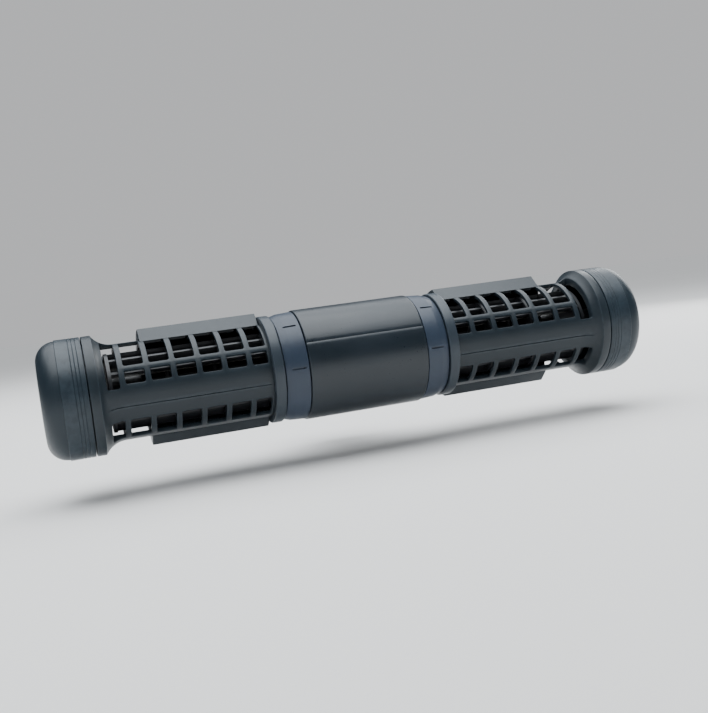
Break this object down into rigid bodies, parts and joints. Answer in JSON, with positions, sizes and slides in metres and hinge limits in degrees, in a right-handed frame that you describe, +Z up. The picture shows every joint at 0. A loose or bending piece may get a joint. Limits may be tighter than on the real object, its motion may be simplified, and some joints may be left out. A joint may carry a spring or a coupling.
{
  "type": "wave maker pump",
  "caption": "Twin cross-flow aquarium wave pump with slotted cages, tilting on a magnetic glass mount.",
  "frame": {"origin": "centre of the rubber pad's face, where the mount rests on the aquarium glass", "axes": "+Y out of the pad towards the glass, +X along the pump, +Z up; the pump's front faces -Y"},
  "size_m": [0.28, 0.0815, 0.052],
  "materials": {
    "cage": "satin moulded charcoal with a blue cast",
    "guide": "satin moulded charcoal with a blue cast",
    "collar": "satin moulded charcoal, a little paler",
    "cap": "satin moulded charcoal with a blue cast",
    "motor_shell": "satin, smoother than the cages",
    "band": "satin slate blue-grey",
    "black_plastic": "fine moulded matte",
    "impeller": "smooth moulded satin",
    "mount_plastic": "satin moulded charcoal",
    "gland_rubber": "matte black",
    "seal_rubber": "matte black",
    "pad_rubber": "soft matte black",
    "ceramic": "polished ivory ceramic",
    "magnet": "satin nickel plate",
    "laminations": "stacked silicon-steel sheets",
    "winding": "enamelled copper wire",
    "board": "solder-masked board",
    "stainless": "satin stainless",
    "plate_steel": "zinc-plated steel"
  },
  "bodies": {
    "mount": {"magnet_housing": "mount_plastic", "mount_magnet": "magnet", "backing_plate": "plate_steel", "glass_pad": "pad_rubber", "hinge_pin": "stainless", "pin_clip": "stainless"},
    "motor": {"motor_front_shell": "motor_shell", "motor_rear_shell": "motor_shell", "motor_frame": "black_plastic", "terminal_board": "board", "cable_gland": "gland_rubber", "gland_seal": "seal_rubber", "shell_screws": "stainless", "tilt_bracket": "mount_plastic", "bracket_screws": "stainless", "left_rotor_can": "black_plastic", "left_can_seal": "seal_rubber", "left_inner_boot": "seal_rubber", "left_inner_bush": "ceramic", "left_stator_core": "laminations", "left_coils": "winding", "left_index_band": "band", "right_rotor_can": "black_plastic", "right_can_seal": "seal_rubber", "right_inner_boot": "seal_rubber", "right_inner_bush": "ceramic", "right_stator_core": "laminations", "right_coils": "winding", "right_index_band": "band"},
    "left_rotor": {"left_impeller": "impeller", "left_rotor_hub": "impeller", "left_shaft": "ceramic", "left_rotor_magnet": "magnet", "left_thrust_washers": "ceramic"},
    "left_cage": {"left_cage": "cage", "left_flow_guide": "guide", "left_lock_collar": "collar"},
    "left_cap": {"left_end_cap": "cap", "left_bearing_holder": "black_plastic", "left_outer_boot": "seal_rubber", "left_outer_bush": "ceramic"},
    "right_rotor": {"right_impeller": "impeller", "right_rotor_hub": "impeller", "right_shaft": "ceramic", "right_rotor_magnet": "magnet", "right_thrust_washers": "ceramic"},
    "right_cage": {"right_cage": "cage", "right_flow_guide": "guide", "right_lock_collar": "collar"},
    "right_cap": {"right_end_cap": "cap", "right_bearing_holder": "black_plastic", "right_outer_boot": "seal_rubber", "right_outer_bush": "ceramic"}
  },
  "joints": [
    {"name": "pump_tilt", "type": "hinge", "parent": "mount", "child": "motor", "pos_m": [0, -0.023, 0], "axis": [1, 0, 0], "range_deg": [-30, 30]},
    {"name": "left_rotor_spin", "type": "hinge", "parent": "motor", "child": "left_rotor", "pos_m": [-0.09, -0.0555, 0], "axis": [1, 0, 0], "continuous": true},
    {"name": "left_cage_twist", "type": "hinge", "parent": "motor", "child": "left_cage", "pos_m": [-0.09, -0.0555, 0], "axis": [1, 0, 0], "range_deg": [0, 30]},
    {"name": "left_cap_twist", "type": "hinge", "parent": "left_cage", "child": "left_cap", "pos_m": [-0.09, -0.0555, 0], "axis": [1, 0, 0], "range_deg": [0, 30]},
    {"name": "right_rotor_spin", "type": "hinge", "parent": "motor", "child": "right_rotor", "pos_m": [0.09, -0.0555, 0], "axis": [1, 0, 0], "continuous": true},
    {"name": "right_cage_twist", "type": "hinge", "parent": "motor", "child": "right_cage", "pos_m": [0.09, -0.0555, 0], "axis": [1, 0, 0], "range_deg": [0, 30]},
    {"name": "right_cap_twist", "type": "hinge", "parent": "right_cage", "child": "right_cap", "pos_m": [0.09, -0.0555, 0], "axis": [1, 0, 0], "range_deg": [0, 30]}
  ]
}
